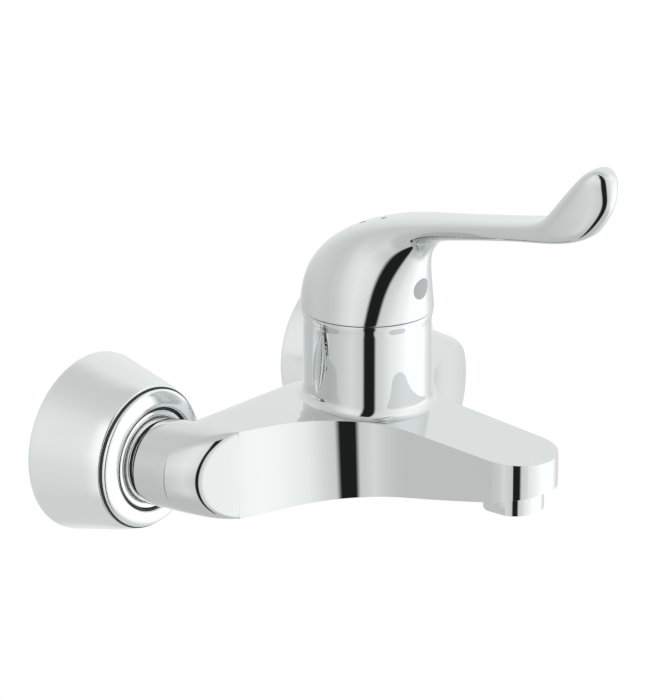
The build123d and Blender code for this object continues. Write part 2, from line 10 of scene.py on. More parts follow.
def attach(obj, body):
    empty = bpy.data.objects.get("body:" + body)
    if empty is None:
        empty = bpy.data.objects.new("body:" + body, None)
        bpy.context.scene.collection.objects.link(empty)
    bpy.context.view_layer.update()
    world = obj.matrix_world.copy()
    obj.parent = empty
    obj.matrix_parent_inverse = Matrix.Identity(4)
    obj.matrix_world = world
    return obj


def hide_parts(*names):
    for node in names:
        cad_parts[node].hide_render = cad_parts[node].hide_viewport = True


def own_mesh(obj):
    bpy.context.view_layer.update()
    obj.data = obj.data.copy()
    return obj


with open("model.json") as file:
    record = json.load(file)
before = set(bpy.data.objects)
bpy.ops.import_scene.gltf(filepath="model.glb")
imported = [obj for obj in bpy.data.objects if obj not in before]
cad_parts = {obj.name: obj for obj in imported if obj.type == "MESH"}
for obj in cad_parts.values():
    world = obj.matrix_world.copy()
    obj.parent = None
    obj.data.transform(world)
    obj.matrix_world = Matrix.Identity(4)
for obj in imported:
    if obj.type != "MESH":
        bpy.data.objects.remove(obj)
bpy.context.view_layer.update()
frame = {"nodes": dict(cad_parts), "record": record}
nodes = frame["nodes"]
print("frame loaded:", len(nodes), "CAD nodes")

mm = 0.001
tiny = 0.01                  # mm, closer than this is the same place
bodyRise = 7.5               # mm from the wall threads up to the middle of the casting


# Short helpers for the node trees

def addNode(tree, kind, **values):
    node = tree.nodes.new(kind)
    for name, value in values.items():
        setattr(node, name, value)
    return node


def plug(tree, value, socket):
    if isinstance(value, bpy.types.NodeSocket):
        tree.links.new(value, socket)
    else:
        socket.default_value = value


def calc(tree, operation, *values):
    node = addNode(tree, "ShaderNodeMath", operation=operation)
    for value, socket in zip(values, node.inputs):
        plug(tree, value, socket)
    return node.outputs[0]


def dotWith(tree, vector, direction):
    node = addNode(tree, "ShaderNodeVectorMath", operation="DOT_PRODUCT")
    plug(tree, vector, node.inputs[0])
    node.inputs[1].default_value = direction
    return node.outputs["Value"]


def ramp(tree, factor, stops):
    node = addNode(tree, "ShaderNodeValToRGB")
    elements = node.color_ramp.elements
    while len(elements) < len(stops):
        elements.new(1)
    for element, (place, tone) in zip(elements, stops):
        element.position = place
        element.color = (tone, tone, tone, 1)
    plug(tree, factor, node.inputs[0])
    return node.outputs["Color"]


def blendColours(tree, factor, first, second, mode="MIX"):
    node = addNode(tree, "ShaderNodeMix", data_type="RGBA", blend_type=mode)
    plug(tree, factor, node.inputs[0])
    plug(tree, first, node.inputs[6])        # 6, 7 and 2 are its colour sockets
    plug(tree, second, node.inputs[7])
    return node.outputs[2]


def fade(tree, value, low, high):
    node = addNode(tree, "ShaderNodeMapRange", interpolation_type="SMOOTHSTEP")
    plug(tree, value, node.inputs["Value"])
    node.inputs["From Min"].default_value = low
    node.inputs["From Max"].default_value = high
    return node.outputs[0]


# Camera, where the photograph was taken from

viewpoint = {
    "turned": 50.4,          # degrees to the left of straight on
    "raised": 19.5,          # degrees above level
    "distance": 1.35,
    "target": (0, -0.070, 0.0275),
    "lens": 174.86,
    "sensor": 36,
    "clip": (0.05, 20),
    "shift": (-0.0386, 0.0443),
}

turned = math.radians(viewpoint["turned"])
raised = math.radians(viewpoint["raised"])
towardsCamera = Vector((-math.sin(turned), -math.cos(turned), 0))
cameraRight = Vector((math.cos(turned), -math.sin(turned), 0))


def addCamera():
    lens = bpy.data.cameras.new("photoCamera")
    lens.lens = viewpoint["lens"]
    lens.sensor_width = viewpoint["sensor"]
    lens.shift_x, lens.shift_y = viewpoint["shift"]
    lens.clip_start, lens.clip_end = viewpoint["clip"]
    camera = bpy.data.objects.new("photoCamera", lens)
    back = towardsCamera * math.cos(raised) + Vector((0, 0, math.sin(raised)))
    camera.location = Vector(viewpoint["target"]) + back * viewpoint["distance"]
    camera.rotation_euler = back.to_track_quat("Z", "Y").to_euler()
    bpy.context.scene.collection.objects.link(camera)
    bpy.context.scene.camera = camera


# Studio: a pale room with a broad bright screen on the right and a dark gap where the camera stands

studio = {
    # tone of the walls against the turn from the camera: 0 = behind the object, 0.5 = the camera
    "walls": [(0.0, 0.90), (0.09, 0.70), (0.16, 0.68), (0.24, 0.75), (0.31, 0.70), (0.37, 0.80),
              (0.42, 0.92), (0.47, 0.80), (0.54, 0.80), (0.58, 0.92), (0.62, 1.12), (0.66, 1.22),
              (0.71, 1.40), (0.83, 1.38), (0.88, 1.0), (0.955, 0.72), (1.0, 0.90)],
    # the same, higher up
    "upperWalls": [(0.0, 0.98), (0.14, 0.84), (0.30, 0.76), (0.345, 0.82), (0.38, 0.98), (0.42, 1.08),
                   (0.46, 1.02), (0.54, 0.84), (0.60, 1.0), (0.70, 1.25), (0.80, 1.25), (0.90, 1.04),
                   (1.0, 0.98)],
    "wallFade": (-0.36, 0.2),    # heights, as the sine of the angle above level
    "ceiling": 0.72,
    "ceilingFade": (0.72, 0.97),
    "ground": 0.68,
    "groundFade": (-0.62, -0.85),
    "gapColour": (0.0144, 0.018, 0.0171, 1),
    "gapLeft": -7.0,             # degrees, turned from the camera
    "gapRight": 14.0,
    "gapEdge": 3.0,
    "gapTop": 62.0,              # degrees above level
    "gapTopEdge": 0.03,          # a height too
    "wallTint": (0.975, 1.0, 0.995, 1),
    "diffuseLevel": (0.93, 0.935, 0.93, 1),
    "backdrop": (1, 1, 1, 1),
}


def addStudio():
    world = bpy.data.worlds.new("studioRoom")
    bpy.context.scene.world = world
    world.use_nodes = True
    tree = world.node_tree
    tree.nodes.clear()
    direction = addNode(tree, "ShaderNodeTexCoord").outputs["Generated"]
    sideways = dotWith(tree, direction, cameraRight)
    forward = dotWith(tree, direction, towardsCamera)
    height = dotWith(tree, direction, (0, 0, 1))
    turn = calc(tree, "ARCTAN2", sideways, forward)
    around = calc(tree, "MULTIPLY_ADD", turn, 0.5 / math.pi, 0.5)
    low = ramp(tree, around, studio["walls"])
    high = ramp(tree, around, studio["upperWalls"])
    room = blendColours(tree, fade(tree, height, *studio["wallFade"]), low, high)
    for tone, limits in (("ceiling", "ceilingFade"), ("ground", "groundFade")):
        grey = (studio[tone], studio[tone], studio[tone], 1)
        room = blendColours(tree, fade(tree, height, *studio[limits]), room, grey)
    edge = math.radians(studio["gapEdge"])
    gapLeft, gapRight = math.radians(studio["gapLeft"]), math.radians(studio["gapRight"])
    gapTop, topEdge = math.sin(math.radians(studio["gapTop"])), studio["gapTopEdge"]
    leftSide = fade(tree, turn, gapLeft - edge, gapLeft + edge)
    rightSide = fade(tree, turn, gapRight + edge, gapRight - edge)
    gap = calc(tree, "MULTIPLY", leftSide, rightSide)
    gap = calc(tree, "MULTIPLY", gap, fade(tree, height, gapTop + topEdge, gapTop - topEdge))
    room = blendColours(tree, 1.0, room, studio["wallTint"], mode="MULTIPLY")
    room = blendColours(tree, gap, room, studio["gapColour"])
    path = addNode(tree, "ShaderNodeLightPath")
    seen = blendColours(tree, path.outputs["Is Glossy Ray"], studio["diffuseLevel"], room)
    direct = calc(tree, "MAXIMUM", path.outputs["Is Camera Ray"], path.outputs["Is Transmission Ray"])
    seen = blendColours(tree, direct, seen, studio["backdrop"])
    background = addNode(tree, "ShaderNodeBackground")
    plug(tree, seen, background.inputs["Color"])
    output = addNode(tree, "ShaderNodeOutputWorld")
    tree.links.new(background.outputs[0], output.inputs["Surface"])


floorPlate = {
    "radius": 0.6,
    "segments": 96,
    "middleY": -0.08,
    "height": -0.65,
    "colour": (0.82, 0.83, 0.825, 1),
    "seenColour": (1, 1, 1, 1),
}


def addFloor():
    mesh = bpy.data.meshes.new("studioFloor")
    shape = bmesh.new()
    bmesh.ops.create_circle(shape, cap_ends=True, segments=floorPlate["segments"],
                            radius=floorPlate["radius"])
    bmesh.ops.translate(shape, verts=shape.verts, vec=(0, floorPlate["middleY"], floorPlate["height"]))
    shape.to_mesh(mesh)
    shape.free()
    floor = bpy.data.objects.new("studioFloor", mesh)
    bpy.context.scene.collection.objects.link(floor)
    paint = bpy.data.materials.new("paleFloor")
    paint.use_nodes = True
    tree = paint.node_tree
    tree.nodes.clear()
    matt = addNode(tree, "ShaderNodeBsdfDiffuse")
    matt.inputs["Color"].default_value = floorPlate["colour"]
    path = addNode(tree, "ShaderNodeLightPath")
    direct = calc(tree, "MAXIMUM", path.outputs["Is Camera Ray"], path.outputs["Is Transmission Ray"])
    white = addNode(tree, "ShaderNodeEmission")
    white.inputs["Color"].default_value = floorPlate["seenColour"]
    lit = addNode(tree, "ShaderNodeMixShader")
    plug(tree, direct, lit.inputs[0])
    tree.links.new(matt.outputs[0], lit.inputs[1])
    tree.links.new(white.outputs[0], lit.inputs[2])
    clear = addNode(tree, "ShaderNodeBsdfTransparent")      # chrome sees the room's own ground instead
    mixed = addNode(tree, "ShaderNodeMixShader")
    plug(tree, path.outputs["Is Glossy Ray"], mixed.inputs[0])
    tree.links.new(lit.outputs[0], mixed.inputs[1])
    tree.links.new(clear.outputs[0], mixed.inputs[2])
    output = addNode(tree, "ShaderNodeOutputMaterial")
    tree.links.new(mixed.outputs[0], output.inputs["Surface"])
    mesh.materials.append(paint)


# Finishes: one shared group for uneven polish, then one material for each finish

unevenPolish = {
    "broadDetail": 3,
    "fineDetail": 4,
    "finer": 9.0,            # times the broad scale
    "fineShare": 0.35,
    "spread": (0.35, 0.65),
    "filmTop": 0.75,
    "filmEase": 0.1,
    "bumpHeight": 0.1,       # mm
}


def newGroup(name, inputs, outputs):
    group = bpy.data.node_groups.new(name, "ShaderNodeTree")
    for label, kind, value in inputs:
        socket = group.interface.new_socket(label, in_out="INPUT", socket_type=kind)
        if value is not None:
            socket.default_value = value
    for label, kind in outputs:
        group.interface.new_socket(label, in_out="OUTPUT", socket_type=kind)
    start = addNode(group, "NodeGroupInput")
    end = addNode(group, "NodeGroupOutput")
    return group, start, end


def makePolishGroup():
    group, start, end = newGroup(
        "unevenPolish",
        [("Vector", "NodeSocketVector", None), ("Scale", "NodeSocketFloat", 40.0),
         ("Smoothest", "NodeSocketFloat", 0.03), ("Roughest", "NodeSocketFloat", 0.06)],
        [("Roughness", "NodeSocketFloat"), ("Film", "NodeSocketFloat"), ("Height", "NodeSocketFloat")])
    broad = addNode(group, "ShaderNodeTexNoise")
    group.links.new(start.outputs["Vector"], broad.inputs["Vector"])
    group.links.new(start.outputs["Scale"], broad.inputs["Scale"])
    broad.inputs["Detail"].default_value = unevenPolish["broadDetail"]
    fineScale = calc(group, "MULTIPLY", start.outputs["Scale"], unevenPolish["finer"])
    fine = addNode(group, "ShaderNodeTexNoise")
    group.links.new(start.outputs["Vector"], fine.inputs["Vector"])
    group.links.new(fineScale, fine.inputs["Scale"])
    fine.inputs["Detail"].default_value = unevenPolish["fineDetail"]
    fineShare = unevenPolish["fineShare"]
    rest = calc(group, "MULTIPLY", broad.outputs["Fac"], 1 - fineShare)
    mixed = calc(group, "MULTIPLY_ADD", fine.outputs["Fac"], fineShare, rest)
    spread = addNode(group, "ShaderNodeMapRange")
    plug(group, mixed, spread.inputs["Value"])
    lowest, highest = unevenPolish["spread"]
    spread.inputs["From Min"].default_value = lowest
    spread.inputs["From Max"].default_value = highest
    group.links.new(start.outputs["Smoothest"], spread.inputs["To Min"])
    group.links.new(start.outputs["Roughest"], spread.inputs["To Max"])
    group.links.new(spread.outputs[0], end.inputs["Roughness"])
    film = calc(group, "SMOOTH_MIN", mixed, unevenPolish["filmTop"], unevenPolish["filmEase"])
    group.links.new(film, end.inputs["Film"])
    group.links.new(mixed, end.inputs["Height"])
    return group


polishGroup = makePolishGroup()

finishes = {
    "chrome": {"colour": (0.722, 0.737, 0.734), "dull": (0.707, 0.722, 0.719), "metal": 1.0,
               "smoothest": 0.008, "roughest": 0.018, "scale": 30.0, "bump": 0.0},
    # painted shade: the last two values darken faces of the covers that look upwards, by the first of them,
    # more and more between the two limits of the second
    "coverChrome": {"colour": (0.915, 0.935, 0.93), "dull": (0.895, 0.915, 0.91), "metal": 1.0,
                    "smoothest": 0.15, "roughest": 0.19, "scale": 30.0, "bump": 0.0,
                    "paintedTopShade": 0.15, "paintedTopShadeFade": (0.5, 1.0)},
    "brass": {"colour": (0.70, 0.60, 0.42), "dull": (0.57, 0.48, 0.33), "metal": 1.0,
              "smoothest": 0.22, "roughest": 0.36, "scale": 120.0, "bump": 0.15},
    "steel": {"colour": (0.62, 0.63, 0.64), "dull": (0.50, 0.51, 0.52), "metal": 1.0,
              "smoothest": 0.18, "roughest": 0.30, "scale": 200.0, "bump": 0.1},
    "rubber": {"colour": (0.025, 0.025, 0.026), "dull": (0.05, 0.05, 0.052), "metal": 0.0,
               "smoothest": 0.55, "roughest": 0.75, "scale": 150.0, "bump": 0.3},
    # painted shade: near-black finish for the rings that stand in for the shade in the covers' grooves
    "seal": {"colour": (0.012, 0.013, 0.013), "dull": (0.02, 0.021, 0.021), "metal": 0.0,
             "smoothest": 0.45, "roughest": 0.6, "scale": 150.0, "bump": 0.1},
    "ceramic": {"colour": (0.86, 0.85, 0.82), "dull": (0.80, 0.79, 0.76), "metal": 0.0,
                "smoothest": 0.12, "roughest": 0.22, "scale": 90.0, "bump": 0.05},
    "nylon": {"colour": (0.80, 0.80, 0.78), "dull": (0.72, 0.72, 0.70), "metal": 0.0,
              "smoothest": 0.38, "roughest": 0.52, "scale": 160.0, "bump": 0.15},
    "greyPrint": {"colour": (0.24, 0.25, 0.25), "dull": (0.20, 0.21, 0.21), "metal": 0.0,
                  "smoothest": 0.35, "roughest": 0.45, "scale": 300.0, "bump": 0.0},
    "coldPrint": {"colour": (0.02, 0.24, 0.30), "dull": (0.015, 0.20, 0.25), "metal": 0.0,
                  "smoothest": 0.35, "roughest": 0.45, "scale": 300.0, "bump": 0.0},
    "plug": {"colour": (0.50, 0.51, 0.52), "dull": (0.46, 0.47, 0.48), "metal": 0.0,
             "smoothest": 0.32, "roughest": 0.42, "scale": 220.0, "bump": 0.1},
}


def makeFinish(name):
    look = finishes[name]
    material = bpy.data.materials.new(name)
    material.use_nodes = True
    tree = material.node_tree
    shader = tree.nodes["Principled BSDF"]
    shader.inputs["Metallic"].default_value = look["metal"]
    place = addNode(tree, "ShaderNodeTexCoord").outputs["Object"]
    polish = addNode(tree, "ShaderNodeGroup", node_tree=polishGroup)
    plug(tree, place, polish.inputs["Vector"])
    polish.inputs["Scale"].default_value = look["scale"]
    polish.inputs["Smoothest"].default_value = look["smoothest"]
    polish.inputs["Roughest"].default_value = look["roughest"]
    tree.links.new(polish.outputs["Roughness"], shader.inputs["Roughness"])
    colour = blendColours(tree, polish.outputs["Film"], (*look["colour"], 1), (*look["dull"], 1))
    # painted shade: the covers are made darker on faces that look upwards
    if "paintedTopShade" in look:
        facing = addNode(tree, "ShaderNodeSeparateXYZ")
        tree.links.new(addNode(tree, "ShaderNodeNewGeometry").outputs["Normal"], facing.inputs[0])
        upwards = fade(tree, facing.outputs["Z"], *look["paintedTopShadeFade"])
        paintedTopShadeMask = calc(tree, "MULTIPLY", upwards, look["paintedTopShade"])
        colour = blendColours(tree, paintedTopShadeMask, colour, (0, 0, 0, 1))
    tree.links.new(colour, shader.inputs["Base Color"])
    if look["bump"] > 0:
        bump = addNode(tree, "ShaderNodeBump")
        bump.inputs["Strength"].default_value = look["bump"]
        bump.inputs["Distance"].default_value = unevenPolish["bumpHeight"] * mm
        tree.links.new(polish.outputs["Height"], bump.inputs["Height"])
        tree.links.new(bump.outputs[0], shader.inputs["Normal"])
    return material


materials = {name: makeFinish(name) for name in finishes}
print("finishes:", len(materials))

slotOfNode = {part["node"]: part["material_slot"] for part in frame["record"]["subparts"]}
for name, node in nodes.items():
    node.data.materials.clear()
    node.data.materials.append(materials[slotOfNode[name]])

# Lever handle: ovals from the rim of the cap, over its shoulder and along the lever to the upturned end

leverShape = {
    # back or top (y, z), front or underside (y, z), half width, squareness, how much narrower in front
    "ovals": [
        ((-52.75, 53.2), (-105.25, 53.2), 26.25, 2.0, 0.0),
        ((-52.5, 53.5), (-105.5, 53.5), 26.5, 2.0, 0.01),
        ((-52.5, 55.5), (-105.6, 55.5), 26.5, 2.0, 0.04),
        ((-53.0, 61.0), (-105.8, 60.0), 26.45, 2.0, 0.10),
        ((-54.9, 68.2), (-106.2, 66.0), 26.2, 2.0, 0.19),
        ((-59.6, 75.4), (-106.9, 71.5), 25.4, 2.0, 0.31),
        ((-66.2, 81.8), (-107.9, 76.5), 24.0, 2.05, 0.44),
        ((-75.0, 87.2), (-109.4, 80.8), 21.8, 2.1, 0.52),
        ((-85.5, 91.2), (-112.0, 84.6), 19.0, 2.2, 0.53),
        ((-99.0, 94.6), (-116.6, 87.7), 15.7, 2.3, 0.50),
        ((-117.0, 97.3), (-124.5, 89.6), 12.4, 2.6, 0.42),
        ((-138.0, 100.6), (-141.5, 93.1), 10.6, 3.4, 0.30),
        ((-156.0, 103.5), (-159.0, 96.3), 10.2, 4.0, 0.25),
        ((-166.0, 105.6), (-175.5, 97.9), 10.2, 3.8, 0.27),
        ((-170.0, 109.6), (-186.0, 101.6), 10.4, 3.4, 0.45),
        ((-175.4, 116.6), (-191.4, 108.4), 10.6, 3.2, 0.62),
        ((-180.6, 123.0), (-195.4, 115.2), 10.4, 3.0, 0.70),
        ((-183.9, 127.0), (-196.1, 120.4), 9.4, 2.8, 0.62),
        ((-187.2, 129.2), (-196.0, 124.9), 7.2, 2.5, 0.55),
        ((-189.9, 129.9), (-195.0, 127.7), 3.6, 2.0, 0.20),
    ],
    # the hollow of the cap: radius and height
    "hollow": [(25.65, 53.2), (25.6, 54.4), (24.7, 55.6), (24.6, 62.6), (19.0, 70.6), (13.0, 79.1)],
    "towerAxis": -79.0,
    "ringPoints": 40,
    "levels": 2,
}


def placeOval(shape, oval, points):
    outer, inner, halfWidth, squareness, narrowing = oval
    ring = bmesh.ops.create_circle(shape, segments=points, radius=1)["verts"]
    middle = Vector((0, (outer[0] + inner[0]) / 2, (outer[1] + inner[1]) / 2 + bodyRise))
    reach = Vector((0, (outer[0] - inner[0]) / 2, (outer[1] - inner[1]) / 2))
    power = 2 / squareness
    for vert in ring:
        aside = math.copysign(abs(vert.co.x) ** power, vert.co.x)
        along = math.copysign(abs(vert.co.y) ** power, vert.co.y)
        aside *= halfWidth * (1 - narrowing * (1 - along) / 2)
        vert.co = (middle + reach * along + Vector((aside, 0, 0))) * mm
    return ring


def ringEdges(ring):
    inRing = set(ring)
    return list({edge for vert in ring for edge in vert.link_edges if edge.other_vert(vert) in inRing})


def bridgeAll(shape, loops):
    for before, after in zip(loops, loops[1:]):
        bmesh.ops.bridge_loops(shape, edges=before + after)


def finishMesh(name, shape, materialName, levels=0):
    bmesh.ops.remove_doubles(shape, verts=shape.verts, dist=tiny * mm)
    bmesh.ops.recalc_face_normals(shape, faces=shape.faces)
    for face in shape.faces:
        face.smooth = True
    mesh = bpy.data.meshes.new(name)
    shape.to_mesh(mesh)
    shape.free()
    piece = bpy.data.objects.new(name, mesh)
    bpy.context.scene.collection.objects.link(piece)
    mesh.materials.append(materials[materialName])
    if levels:
        finer = piece.modifiers.new("finer", "SUBSURF")
        finer.levels = levels
        finer.render_levels = levels
    return piece


def makeLeverHandle():
    shape = bmesh.new()
    points = leverShape["ringPoints"]
    axis = leverShape["towerAxis"]
    inside = [((axis + r, z), (axis - r, z), r, 2.0, 0.0) for r, z in reversed(leverShape["hollow"])]
    rings = [placeOval(shape, oval, points) for oval in inside + leverShape["ovals"]]
    loops = [ringEdges(ring) for ring in rings]
    bridgeAll(shape, loops)
    bmesh.ops.holes_fill(shape, edges=loops[0] + loops[-1], sides=points)
    return finishMesh("leverHandleSkin", shape, "chrome", leverShape["levels"])


leverHandle = makeLeverHandle()
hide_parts("lever_handle")
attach(leverHandle, "lever")
print("lever handle built")

# Screw cover on the front of the cap, curved like the cap

coverDisc = {
    "height": 65.9,
    "proud": 0.12,
    "segments": 64,
    "outside": -140.0,       # a place in front of the cap, from where its surface is found
    # radius and how far behind the front, from the rim inwards
    "rings": [(4.3, 1.6), (4.3, 0.14), (4.26, 0.05), (4.16, 0.0), (3.2, 0.0), (2.1, 0.0), (1.0, 0.0)],
}


def touchSkin(origin, direction):
    return leverHandle.ray_cast(Vector(origin) * mm, Vector(direction))[1] / mm


def makeCoverDisc():
    bpy.context.view_layer.update()
    shape = bmesh.new()
    middle = coverDisc["height"] + bodyRise
    points = coverDisc["segments"]
    loops = []
    for radius, behind in coverDisc["rings"]:
        ring = bmesh.ops.create_circle(shape, segments=points, radius=radius)["verts"]
        for vert in ring:
            x, z = vert.co.x, middle + vert.co.y
            front = touchSkin((x, coverDisc["outside"], z), (0, 1, 0)).y - coverDisc["proud"]
            vert.co = Vector((x, front + behind, z)) * mm
        loops.append(ringEdges(ring))
    bridgeAll(shape, loops)
    bmesh.ops.holes_fill(shape, edges=loops[0] + loops[-1], sides=points)
    disc = finishMesh("screwCoverDisc", shape, "plug")
    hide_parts("index_plug")
    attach(disc, "lever")


makeCoverDisc()
print("screw cover built")

# Small printed marks on top of the cap

capMarks = {
    "ringAt": (-4.2, -80.2),
    "ringRadii": (1.2, 0.85),
    "ringSegments": 40,
    "barAt": (-3.1, -89.7),
    "barSize": (1.9, 1.6),
    "raised": 0.05,
    "sunk": -0.1,
    "above": 150.0,          # a height above the cap, from where its surface is found
}


def dropOnCap(vert, middle, lift):
    x, y = vert.co.x + middle[0], vert.co.y + middle[1]
    top = touchSkin((x, y, capMarks["above"]), (0, 0, -1)).z
    vert.co = Vector((x, y, top + lift)) * mm


def makeCapMarks():
    raised, sunk = capMarks["raised"], capMarks["sunk"]
    outer, inner = capMarks["ringRadii"]
    shape = bmesh.new()
    loops = []
    for radius, lift in ((outer, sunk), (outer, raised), (inner, raised), (inner, sunk)):
        ring = bmesh.ops.create_circle(shape, segments=capMarks["ringSegments"], radius=radius)["verts"]
        for vert in ring:
            dropOnCap(vert, capMarks["ringAt"], lift)
        loops.append(ringEdges(ring))
    bridgeAll(shape, loops + loops[:1])
    marks = [finishMesh("capRingMark", shape, "greyPrint")]
    shape = bmesh.new()
    bmesh.ops.create_cube(shape, size=1)
    width, depth = capMarks["barSize"]
    for vert in shape.verts:
        lift = raised if vert.co.z > 0 else sunk
        vert.co.x *= width
        vert.co.y *= depth
        dropOnCap(vert, capMarks["barAt"], lift)
    marks.append(finishMesh("capColdMark", shape, "coldPrint"))
    for mark in marks:
        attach(mark, "lever")


makeCapMarks()
print("marks built")

# Escutcheons: a cone, a rolled ring and a lip in one spun shell, with a near-black ring of painted shade in
# both of its grooves

coverShape = {
    # radius and distance from the wall, round the whole section
    "section": [(34.6, 0.3), (35.2, 0.0), (35.8, 0.0), (35.97, 0.2), (35.93, 0.8), (34.3, 7.6),
                (32.6, 15.4), (31.2, 21.6), (30.6, 24.2), (30.0, 26.5), (29.3, 28.4), (28.75, 29.6),
                (28.4, 30.2), (28.0, 30.5), (27.65, 30.4), (27.6, 31.0), (27.75, 31.8), (27.4, 32.6),
                (26.6, 33.2), (25.2, 33.8),
                (23.6, 34.3), (22.2, 34.55), (21.3, 34.45), (20.8, 34.0), (20.65, 33.3), (20.4, 33.0),
                (20.0, 33.1), (19.7, 33.55), (19.1, 33.9), (18.2, 34.0), (17.6, 33.8), (17.3, 33.4),
                (17.3, 33.0), (18.5, 32.9), (19.7, 32.5), (20.6, 32.0), (21.6, 32.4), (23.0, 33.1),
                (24.5, 32.9), (25.9, 32.3), (26.5, 31.4), (26.7, 30.0), (27.2, 28.8), (28.2, 27.0),
                (29.3, 23.6), (31.3, 15.2), (33.0, 7.6)],
    # radius and distance from the wall of the near-black rings of painted shade in the grooves, and how
    # thick half of each is
    "seals": [(27.9, 30.95, 0.42), (20.3, 33.5, 0.42)],
    "grooveShadeSegments": 10,
    "grooveShadeSteps": 128,
    "inletSpacing": 150.0,
    "steps": 72,
    "levels": 2,
}


def spinSection(shape, section, middleX, steps):
    verts = [shape.verts.new(((middleX + radius) * mm, -away * mm, bodyRise * mm))
             for radius, away in section]
    edges = [shape.edges.new(pair) for pair in zip(verts, verts[1:] + verts[:1])]
    bmesh.ops.spin(shape, geom=verts + edges, cent=(middleX * mm, 0, bodyRise * mm), axis=(0, 1, 0),
                   dvec=(0, 0, 0), angle=math.tau, steps=steps, use_merge=True)


def makeCover(side, label):
    middleX = side * coverShape["inletSpacing"] / 2
    shape = bmesh.new()
    spinSection(shape, coverShape["section"], middleX, coverShape["steps"])
    cover = finishMesh("cover_" + label, shape, "coverChrome", coverShape["levels"])
    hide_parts("escutcheon_" + label)
    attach(cover, "body")
    # near-black rings of painted shade in both grooves of the cover
    for number, (radius, away, thickness) in enumerate(coverShape["seals"]):
        shape = bmesh.new()
        ring = bmesh.ops.create_circle(shape, segments=coverShape["grooveShadeSegments"],
                                       radius=thickness * mm)["verts"]
        bmesh.ops.translate(shape, verts=ring, vec=((middleX + radius) * mm, -away * mm, bodyRise * mm))
        bmesh.ops.spin(shape, geom=ring + ringEdges(ring), cent=(middleX * mm, 0, bodyRise * mm),
                       axis=(0, 1, 0), dvec=(0, 0, 0), angle=math.tau, steps=coverShape["grooveShadeSteps"],
                       use_merge=True)
        seal = finishMesh("coverGrooveShade_%s_%d" % (label, number + 1), shape, "seal")
        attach(seal, "body")


makeCover(-1, "hot")
makeCover(1, "cold")
print("covers built")

# Check valve springs, copied from their CAD nodes with a steel finish


def makeCheckSpring(label):
    name = "check_valve_spring_" + label
    shape = bmesh.new()
    shape.from_mesh(nodes[name].data)
    spring = finishMesh("checkSpring_" + label, shape, "steel")
    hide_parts(name)
    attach(spring, "body")
    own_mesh(spring)


makeCheckSpring("hot")
makeCheckSpring("cold")
print("check springs built")

# Body casting: a slab whose pads sweep into the spout, two leaning arms and the hollow tower

